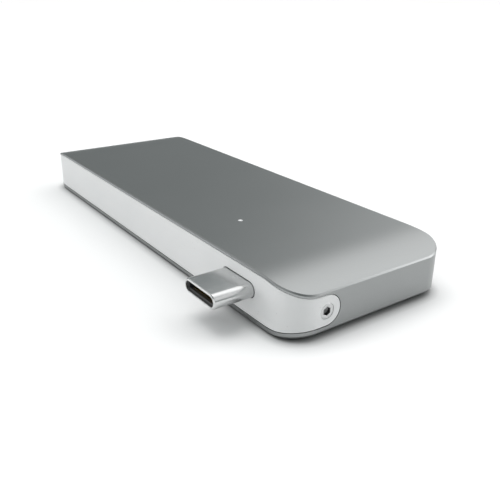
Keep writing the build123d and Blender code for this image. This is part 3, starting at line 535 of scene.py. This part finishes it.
moulded_plastic("black_plastic", grey(0.026), grey(0.036), 0.50)
moulded_plastic("blue_plastic", (0.014, 0.090, 0.34, 1.0), (0.020, 0.112, 0.40, 1.0), 0.42)
moulded_plastic("chip_black", grey(0.018), grey(0.030), 0.55, 0.09)
moulded_plastic("ferrite", grey(0.045), grey(0.070), 0.70, 0.12)
moulded_plastic("ceramic", (0.30, 0.20, 0.12, 1.0), (0.40, 0.28, 0.18, 1.0), 0.38, 0.10)
moulded_plastic("pad_grey", (0.34, 0.37, 0.41, 1.0), (0.40, 0.43, 0.47, 1.0), 0.82, 0.30)
moulded_plastic("pipe_clear", grey(0.86), grey(0.92), 0.16, 0.40, 0.2)
moulded_plastic("led_white", (0.86, 0.82, 0.55, 1.0), (0.90, 0.87, 0.62, 1.0), 0.34)
moulded_plastic("film_clear", (0.50, 0.40, 0.22, 1.0), (0.58, 0.47, 0.27, 1.0), 0.30, 0.60)
moulded_plastic("flex_amber", (0.42, 0.18, 0.03, 1.0), (0.55, 0.26, 0.05, 1.0), 0.28, 0.50)
moulded_plastic("board_green", (0.008, 0.065, 0.028, 1.0), (0.014, 0.095, 0.042, 1.0), 0.34, 0.35)
print("materials:", sorted(finish))

# %% Materials onto the CAD nodes
slots = {part["node"]: part["material_slot"] for part in frame["record"]["subparts"]}
for name, o in cad.items():
    o.data.materials.clear()
    o.data.materials.append(finish[slots[name]])
print("painted:", len(cad), "CAD nodes from", len(set(slots.values())), "slots")

# %% [markdown]
# ## Edges that catch the light
#
# A solid model has edges of no width, and no real part does: the shell's edges are cut, the band's
# are moulded with a small radius, and sheet steel rolls over where it was punched. Such edges show
# as thin bright or dark lines and do much to make a small object look real. They could be painted,
# but a line that is painted doesn't move with the light. So each visible part gets a copy whose
# triangles are merged into whole faces, and a Bevel modifier rounds what is sharp.

# %% Eased ends
# The top of the real shell bends down so gently at first that its reflection has no line where the
# bend begins. The solid's top is flat up to a circular arc. The visible copy is cut into strips
# there, and their corners are lowered by less than a tenth of a millimetre onto a softer curve.
END_RUN = 10.0 * MM
END_FALL = 1.7 * MM
END_POWER = 3.0
STRIPS = 14
RIM = 0.3 * MM
RIM_DEPTH = 0.25 * MM
CUT_WITHIN = 1e-7
shell = cad["aluminium_shell"]
shell_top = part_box("aluminium_shell")[1]
NEAR_END = shell_top.x - RIM


def solid_top(x):
    """The height of the solid's top at a distance from the middle, carried on past its cut rim."""
    if x > NEAR_END:
        fall = solid_top(NEAR_END) - solid_top(NEAR_END - RIM)
        return solid_top(NEAR_END) + (x - NEAR_END) / RIM * fall
    found = shell.ray_cast((x, 0.0, shell_top.z + MM), (0.0, 0.0, -1.0))
    return found[1].z


def eased_top(x):
    """The height of the softer curve at a distance from the middle."""
    share = max(0.0, (x - shell_top.x + END_RUN) / END_RUN)
    return shell_top.z - END_FALL * share ** END_POWER


def ease_ends(shape):
    """Cuts both ends of the shell across into strips and lowers the corners of its top."""
    along = (1.0, 0.0, 0.0)
    for i in range(1, STRIPS + 1):
        for side in (-1, 1):
            whole = shape.verts[:] + shape.edges[:] + shape.faces[:]
            cut = (side * (shell_top.x - END_RUN * i / STRIPS), 0.0, 0.0)
            bmesh.ops.bisect_plane(shape, geom=whole, dist=CUT_WITHIN, plane_co=cut, plane_no=along)
    moved = []
    for corner in shape.verts:
        x = abs(corner.co.x)
        if x > shell_top.x - END_RUN and solid_top(x) - corner.co.z < RIM_DEPTH:
            moved.append(eased_top(x) - solid_top(x))
            corner.co.z += moved[-1]
    lowest, highest = round(min(moved) / MM, 3), round(max(moved) / MM, 3)
    print("eased corners:", len(moved), "moved in mm by", lowest, "to", highest)


# %% Clean copies
MERGE_WITHIN = 0.5e-6
FLAT = math.radians(0.2)


def clean_copy(name):
    """A CAD node's mesh with its loose triangles joined and its flat faces made whole."""
    shape = bmesh.new()
    shape.from_mesh(cad[name].data)
    bmesh.ops.remove_doubles(shape, verts=shape.verts, dist=MERGE_WITHIN)
    bmesh.ops.dissolve_limit(shape, angle_limit=FLAT, verts=shape.verts, edges=shape.edges)
    if name == "aluminium_shell":
        ease_ends(shape)
    mesh = bpy.data.meshes.new(name + "_softened")
    shape.to_mesh(mesh)
    shape.free()
    if "custom_normal" in mesh.attributes:
        mesh.attributes.remove(mesh.attributes["custom_normal"])
    return mesh


# %% Finished pieces
def settled(piece):
    """The piece with its modifiers worked into its mesh."""
    graph = bpy.context.evaluated_depsgraph_get()
    mesh = bpy.data.meshes.new_from_object(piece.evaluated_get(graph))
    piece.modifiers.clear()
    piece.data = mesh
    return piece


def place_piece(piece, body, *stands_for):
    """Parents a finished piece to the body it moves with, and hides the CAD nodes that it stands
    for.
    """
    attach(piece, body)
    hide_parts(*stands_for)


body_of = {name: o["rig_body"] for name, o in cad.items()}

# %% Softened copies
SHARP = math.radians(30)


def soften(name, radius):
    """Stands for a CAD node with a copy whose sharp edges are rounded. Returns its face count."""
    piece = bpy.data.objects.new(name + "_softened", clean_copy(name))
    bpy.context.scene.collection.objects.link(piece)
    piece.data.shade_smooth()
    piece.data.set_sharp_from_angle(angle=SHARP)
    rounding = piece.modifiers.new("rounding", "BEVEL")
    rounding.width = radius
    rounding.segments = 2
    rounding.limit_method = "ANGLE"
    rounding.angle_limit = SHARP
    rounding.harden_normals = True
    bpy.context.view_layer.update()
    settled(piece)
    piece.data.materials.clear()
    piece.data.materials.append(finish[slots[name]])
    place_piece(piece, body_of[name], name)
    return len(piece.data.polygons)


EDGES = {
    # node: radius of its edges
    "aluminium_shell": 0.06 * MM,
    "front_band": 0.08 * MM,
    "plug_shell": 0.03 * MM,
    "plug_insulator": 0.05 * MM,
    "usb_a_shell_1": 0.05 * MM,
    "usb_a_shell_2": 0.05 * MM,
    "usb_a_tongue_1": 0.08 * MM,
    "usb_a_tongue_2": 0.08 * MM,
    "usb_c_shell": 0.05 * MM,
    "usb_c_tongue": 0.05 * MM,
    "sd_tray": 0.10 * MM,
    "microsd_tray": 0.08 * MM,
}
for name, radius in EDGES.items():
    print(name, "softened:", soften(name, radius), "faces")

# %% [markdown]
# ## Rows of contacts
#
# Every socket and the plug have their contacts in rows of equal pins: twelve and twelve in USB-C,
# four and five in USB-A, nine and eight in the card slots. Each pin is stamped from strip and bent,
# so it has one centre line and one section. That is a rule, and Geometry Nodes state rules well: the
# centre line of one pin comes in, its bends are rounded, the section is swept along it, and the pin
# is repeated at an even pitch. One tree serves every connector with its own numbers.

# %% Ends of a Geometry Nodes tree
def number_inputs(tree, floats, whole=()):
    """A tree's sockets. Returns the node that gives its inputs and the inputs' identifiers."""
    tree.interface.new_socket("Geometry", in_out="INPUT", socket_type="NodeSocketGeometry")
    tree.interface.new_socket("Geometry", in_out="OUTPUT", socket_type="NodeSocketGeometry")
    kinds = {label: "NodeSocketFloat" for label in floats}
    kinds.update({label: "NodeSocketInt" for label in whole})
    kinds["Material"] = "NodeSocketMaterial"
    keys = {}
    for label, kind in kinds.items():
        socket = tree.interface.new_socket(label, in_out="INPUT", socket_type=kind)
        keys[label] = socket.identifier
    return tree.nodes.new("NodeGroupInput"), keys


def finish_tree(tree, geometry, given):
    """Ends a tree with Realize Instances, Set Material and the output."""
    real = add(tree, "GeometryNodeRealizeInstances", {0: geometry})
    paint = {0: real.outputs[0], "Material": given.outputs["Material"]}
    painted = add(tree, "GeometryNodeSetMaterial", paint)
    add(tree, "NodeGroupOutput", {0: painted.outputs[0]})


# %% Contact row tree
ROW = bpy.data.node_groups.new("contact_row", "GeometryNodeTree")
given, ROW_KEYS = number_inputs(ROW, ["Pitch", "Width", "Thickness", "Bend Radius"], ["Count"])
centre_line = add(ROW, "GeometryNodeMeshToCurve", {0: given.outputs["Geometry"]})
bend = {"Radius": given.outputs["Bend Radius"], "Count": 3, "Limit Radius": True}
bent = add(ROW, "GeometryNodeFilletCurve", {0: centre_line.outputs[0], **bend}, mode="POLY")
strip_size = {"Width": given.outputs["Width"], "Height": given.outputs["Thickness"]}
section = add(ROW, "GeometryNodeCurvePrimitiveQuadrilateral", strip_size)
sweep = {0: bent.outputs[0], 1: section.outputs[0], "Fill Caps": True}
pin = add(ROW, "GeometryNodeCurveToMesh", sweep)
gaps = math_node(ROW, "SUBTRACT", given.outputs["Count"], 1.0)
reach = math_node(ROW, "MULTIPLY", gaps, given.outputs["Pitch"])
first = add(ROW, "ShaderNodeCombineXYZ", {"X": math_node(ROW, "MULTIPLY", reach, -0.5)})
step = add(ROW, "ShaderNodeCombineXYZ", {"X": given.outputs["Pitch"]})
line = {"Start Location": first.outputs[0], "Offset": step.outputs[0]}
places = add(ROW, "GeometryNodeMeshLine", {"Count": given.outputs["Count"], **line})
pins = add(ROW, "GeometryNodeInstanceOnPoints", {0: places.outputs[0], "Instance": pin.outputs[0]})
finish_tree(ROW, pins.outputs[0], given)
print("tree", ROW.name, "with inputs", sorted(ROW_KEYS))


# %% Run a tree on a line of points
def run_tree(name, tree, keys, points, values):
    """The mesh that a tree makes from a line of points."""
    line = bpy.data.meshes.new(name)
    line.from_pydata(points, [(i, i + 1) for i in range(len(points) - 1)], [])
    piece = bpy.data.objects.new(name, line)
    bpy.context.scene.collection.objects.link(piece)
    modifier = piece.modifiers.new(name, "NODES")
    modifier.node_group = tree
    for label, value in values.items():
        modifier[keys[label]] = value
    bpy.context.view_layer.update()
    return settled(piece)


def join_pieces(name, parts):
    """One object from several, with their meshes put together."""
    shape = bmesh.new()
    for part in parts:
        shape.from_mesh(part.data)
        bpy.data.objects.remove(part)
    mesh = bpy.data.meshes.new(name)
    shape.to_mesh(mesh)
    shape.free()
    piece = bpy.data.objects.new(name, mesh)
    bpy.context.scene.collection.objects.link(piece)
    return piece


# %% One connector's contacts
def contact_rows(node, rows):
    """Stands for a CAD node. A row is its count, pitch, width, thickness, bend and points."""
    made = []
    for count, pitch, width, thickness, bend, points in rows:
        values = {
            "Count": count,
            "Pitch": pitch,
            "Width": width,
            "Thickness": thickness,
            "Bend Radius": bend,
            "Material": finish["contact_gold"],
        }
        made.append(run_tree(f"{node}_row_{len(made)}", ROW, ROW_KEYS, points, values))
    piece = join_pieces(node + "_pins", made)
    piece.data.materials.append(finish["contact_gold"])
    place_piece(piece, body_of[node], node)
    print(node, "pins:", sum(row[0] for row in rows), "faces:", len(piece.data.polygons))


# %% USB-C contacts
# Two rows of twelve. In the plug each pin bows inwards near its tip, where it presses on the tongue
# of the laptop's socket. In the hub's own socket the pins lie flat on its tongue.
PIN_WIDTH = 0.22 * MM
PIN_PITCH = 0.5 * MM
PLUG_PIN_THICK = 0.1 * MM
PLUG_PIN_BEND = 0.25 * MM
SOCKET_PIN_THICK = 0.06 * MM
# The plug's pin in mm: the distance from its tip, and how far out it stands from its straight part.
HIGHEST = 0.02
PLUG_PIN = ((0.0, HIGHEST), (0.35, HIGHEST), (0.8, -0.11), (1.3, 0.0), (4.0, 0.0))


def plug_rows():
    """An upper row and a lower one, which mirrors it."""
    low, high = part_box("plug_contacts")
    x, z = (low.x + high.x) / 2, (low.z + high.z) / 2
    level = (high.z - low.z) / 2 - PLUG_PIN_THICK / 2
    rows = []
    for up in (1, -1):
        points = []
        for along, rise in PLUG_PIN:
            height = z + up * (level + rise * MM - HIGHEST * MM)
            points.append((x, low.y + along * MM, height))
        points.append((x, high.y, points[-1][2]))
        rows.append((12, PIN_PITCH, PIN_WIDTH, PLUG_PIN_THICK, PLUG_PIN_BEND, points))
    return rows


def socket_rows(node, width):
    """Two flat rows on the two faces of a tongue."""
    low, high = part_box(node)
    x = (low.x + high.x) / 2
    rows = []
    for z in (low.z + SOCKET_PIN_THICK / 2, high.z - SOCKET_PIN_THICK / 2):
        points = [(x, low.y, z), (x, high.y, z)]
        rows.append((12, PIN_PITCH, width, SOCKET_PIN_THICK, 0.0, points))
    return rows


contact_rows("plug_contacts", plug_rows())
contact_rows("usb_c_contacts", socket_rows("usb_c_contacts", PIN_WIDTH))


# %% USB-A contacts
# The four long contacts are those of the first USB, and the five short ones in front of them were
# added for speed. The long ones are wider and not evenly spaced, so they are two pairs. How far the
# long ones stop and the short ones start from the mouth is measured from the front of both.
LONG_THICK = 0.15 * MM
SHORT_THICK = 0.1 * MM
LONG_WIDTH = 1.0 * MM
SHORT_WIDTH = 0.8 * MM
LONG_STOPS = 2.2 * MM
SHORT_STARTS = 1.4 * MM
OUTER_PITCH = 7.0 * MM
INNER_PITCH = 2.0 * MM


def usb_a_rows(node):
    """Two pairs of long contacts, and one row of five short ones nearer the mouth."""
    low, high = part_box(node)
    x, top = (low.x + high.x) / 2, high.z
    level = top - LONG_THICK / 2
    long_line = [(x, low.y, level), (x, high.y - LONG_STOPS, level)]
    level = top - SHORT_THICK / 2
    short_line = [(x, high.y - SHORT_STARTS, level), (x, high.y, level)]
    outer = (2, OUTER_PITCH, LONG_WIDTH, LONG_THICK, 0.0, long_line)
    inner = (2, INNER_PITCH, LONG_WIDTH, LONG_THICK, 0.0, long_line)
    return [outer, inner, (5, INNER_PITCH, SHORT_WIDTH, SHORT_THICK, 0.0, short_line)]


for number in (1, 2):
    contact_rows(f"usb_a_contacts_{number}", usb_a_rows(f"usb_a_contacts_{number}"))


# %% Card contacts
# A card slides over sprung pins: each lies on the floor of its slot, rises, and turns down again at
# its free end, so that a card's edge can't catch it.
CARD_PIN_THICK = 0.12 * MM
CARD_PIN_SHARE = 0.35
CARD_PIN_BEND = 0.3 * MM
CARD_PIN_DROP = 0.12 * MM


def card_rows(node, count, pitch, up):
    """One row of sprung pins, which rise when up is 1 and hang down when it is -1."""
    low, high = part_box(node)
    x, thick = (low.x + high.x) / 2, CARD_PIN_THICK
    foot, crest = (low.z, high.z) if up > 0 else (high.z, low.z)
    foot, crest = foot + up * thick / 2, crest - up * thick / 2
    drop = up * CARD_PIN_DROP
    shape = [(0.0, foot), (1.0 * MM, foot), (3.0 * MM, crest - drop / 2), (3.25 * MM, crest)]
    points = [(x, low.y + along, z) for along, z in shape]
    points.append((x, high.y, crest - drop))
    return [(count, pitch, CARD_PIN_SHARE * pitch, thick, CARD_PIN_BEND, points)]


contact_rows("sd_contacts", card_rows("sd_contacts", 9, 2.5 * MM, 1))
contact_rows("microsd_contacts", card_rows("microsd_contacts", 8, 1.1 * MM, -1))

# %% [markdown]
# ## The end screws
#
# A small screw at each end of the band holds it to the frame inside. Its head sits in a round seat,
# with a flat face, a slightly rounded rim and a six-sided socket. The head and shank are a lathe
# shape whose inner rings turn from round to six-sided. The thread is a small square on its corner,
# swept along a helix so that half of it stands proud of the shank, which a Geometry Nodes tree
# makes from its radius, pitch and length.

# %% Thread tree
THREAD = bpy.data.node_groups.new("screw_thread", "GeometryNodeTree")
given, THREAD_KEYS = number_inputs(THREAD, ["Radius", "Pitch", "Length", "Depth"])
turns = math_node(THREAD, "DIVIDE", given.outputs["Length"], given.outputs["Pitch"])
coil = {
    "Resolution": 24,
    "Rotations": turns,
    "Start Radius": given.outputs["Radius"],
    "End Radius": given.outputs["Radius"],
    "Height": given.outputs["Length"],
}
helix = add(THREAD, "GeometryNodeCurveSpiral", coil)
four_sided = {"Resolution": 4, "Radius": given.outputs["Depth"]}
ridge = add(THREAD, "GeometryNodeCurvePrimitiveCircle", four_sided)
sweep = {0: helix.outputs[0], 1: ridge.outputs[0], "Fill Caps": True}
winding = add(THREAD, "GeometryNodeCurveToMesh", sweep)
finish_tree(THREAD, winding.outputs[0], given)
print("tree", THREAD.name, "with inputs", sorted(THREAD_KEYS))


# %% Screw shape
SIDES = 48
SOCKET_RADIUS = 0.70 * MM
SHANK_RADIUS = 0.62 * MM
THREAD_DEPTH = 0.13 * MM


def ring_radius(step, radius, six_sided):
    """The reach of a ring in the direction of one of its points."""
    if not six_sided:
        return radius
    turned = math.tau * step / SIDES % (math.pi / 3) - math.pi / 6
    return radius * math.cos(math.pi / 6) / math.cos(turned)


def lathe(rings):
    """A closed shape from rings of (height, radius, six sided), listed along its outline."""
    shape = bmesh.new()
    loops = []
    for height, radius, six_sided in rings:
        loop = []
        for step in range(SIDES if radius > 0 else 1):
            angle = math.tau * step / SIDES
            reach = ring_radius(step, radius, six_sided)
            place = (reach * math.cos(angle), reach * math.sin(angle), height)
            loop.append(shape.verts.new(place))
        loops.append(loop)
    for lower, upper in zip(loops, loops[1:]):
        for step in range(SIDES):
            after = (step + 1) % SIDES
            corners = [lower[step % len(lower)], lower[after % len(lower)]]
            corners += [upper[after % len(upper)], upper[step % len(upper)]]
            shape.faces.new(list(dict.fromkeys(corners)))
    bmesh.ops.recalc_face_normals(shape, faces=shape.faces)
    mesh = bpy.data.meshes.new("lathe")
    shape.to_mesh(mesh)
    shape.free()
    return mesh


# %% Two end screws
low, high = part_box("end_screws")
head_radius = (high.z - low.z) / 2
axis_y, axis_z = (low.y + high.y) / 2, (low.z + high.z) / 2
HEAD_DEPTH = 0.45 * MM
SCREW_LENGTH = 4.35 * MM
POINT_LENGTH = 0.3 * MM
POINT_SHARE = 0.55
SOFT_RIM = 0.07 * MM
SOCKET_DEPTH = 0.45 * MM
DRILLED_DEPTH = 0.60 * MM
THREAD_PITCH = 0.35 * MM
PLAIN_SHANK = 0.5 * MM
rings = [
    # height, radius, six sided: up from the point to the rim, then down into the socket
    (-SCREW_LENGTH, 0.0, False),
    (-SCREW_LENGTH, POINT_SHARE * SHANK_RADIUS, False),
    (-SCREW_LENGTH + POINT_LENGTH, SHANK_RADIUS, False),
    (-HEAD_DEPTH, SHANK_RADIUS, False),
    (-HEAD_DEPTH, head_radius, False),
    (-0.08 * MM, head_radius, False),
    (-0.03 * MM, head_radius - 0.02 * MM, False),
    (0.0, head_radius - SOFT_RIM, False),
    (0.0, SOCKET_RADIUS + SOFT_RIM, False),
    (-0.05 * MM, SOCKET_RADIUS, True),
    (-SOCKET_DEPTH, SOCKET_RADIUS, True),
    (-DRILLED_DEPTH, 0.0, False),
]
thread_values = {
    "Radius": SHANK_RADIUS,
    "Pitch": THREAD_PITCH,
    "Length": SCREW_LENGTH - HEAD_DEPTH - PLAIN_SHANK,
    "Depth": THREAD_DEPTH,
    "Material": finish["screw_steel"],
}
for name, face, side in (("end_screw_left", low.x, -1), ("end_screw_right", high.x, 1)):
    core = bpy.data.objects.new(name + "_core", lathe(rings))
    thread = run_tree(name + "_thread", THREAD, THREAD_KEYS, [(0, 0, 0), (0, 0, MM)], thread_values)
    thread.data.transform(Matrix.Translation((0, 0, POINT_LENGTH - SCREW_LENGTH)))
    screw = join_pieces(name, [core, thread])
    stand = Matrix.Rotation(side * math.pi / 2, 4, "Y")
    screw.data.transform(Matrix.Translation((face, axis_y, axis_z)) @ stand)
    screw.data.materials.append(finish["screw_steel"])
    screw.data.shade_smooth()
    screw.data.set_sharp_from_angle(angle=math.radians(35))
    place_piece(screw, "housing", "end_screws")
    print(name, "faces:", len(screw.data.polygons))

# %% [markdown]
# ## Flexible cable
#
# The plug's small board and the main board are joined by a printed strip, thin enough to bend. Its
# front end lies on the sliding board, its back end is held in a connector, and the fold between
# them opens when the plug slides out. Here the strip is a smooth-shaded copy of its CAD node, in
# the one shape that the model gives it, and stands in that node's place.

# %% Flexible cable
strip = bpy.data.objects.new("flex_strip", clean_copy("flex_cable"))
bpy.context.scene.collection.objects.link(strip)
strip.data.shade_smooth()
strip.data.set_sharp_from_angle(angle=math.radians(60))
strip.data.materials.clear()
strip.data.materials.append(finish[slots["flex_cable"]])
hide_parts("flex_cable")
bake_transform(strip)
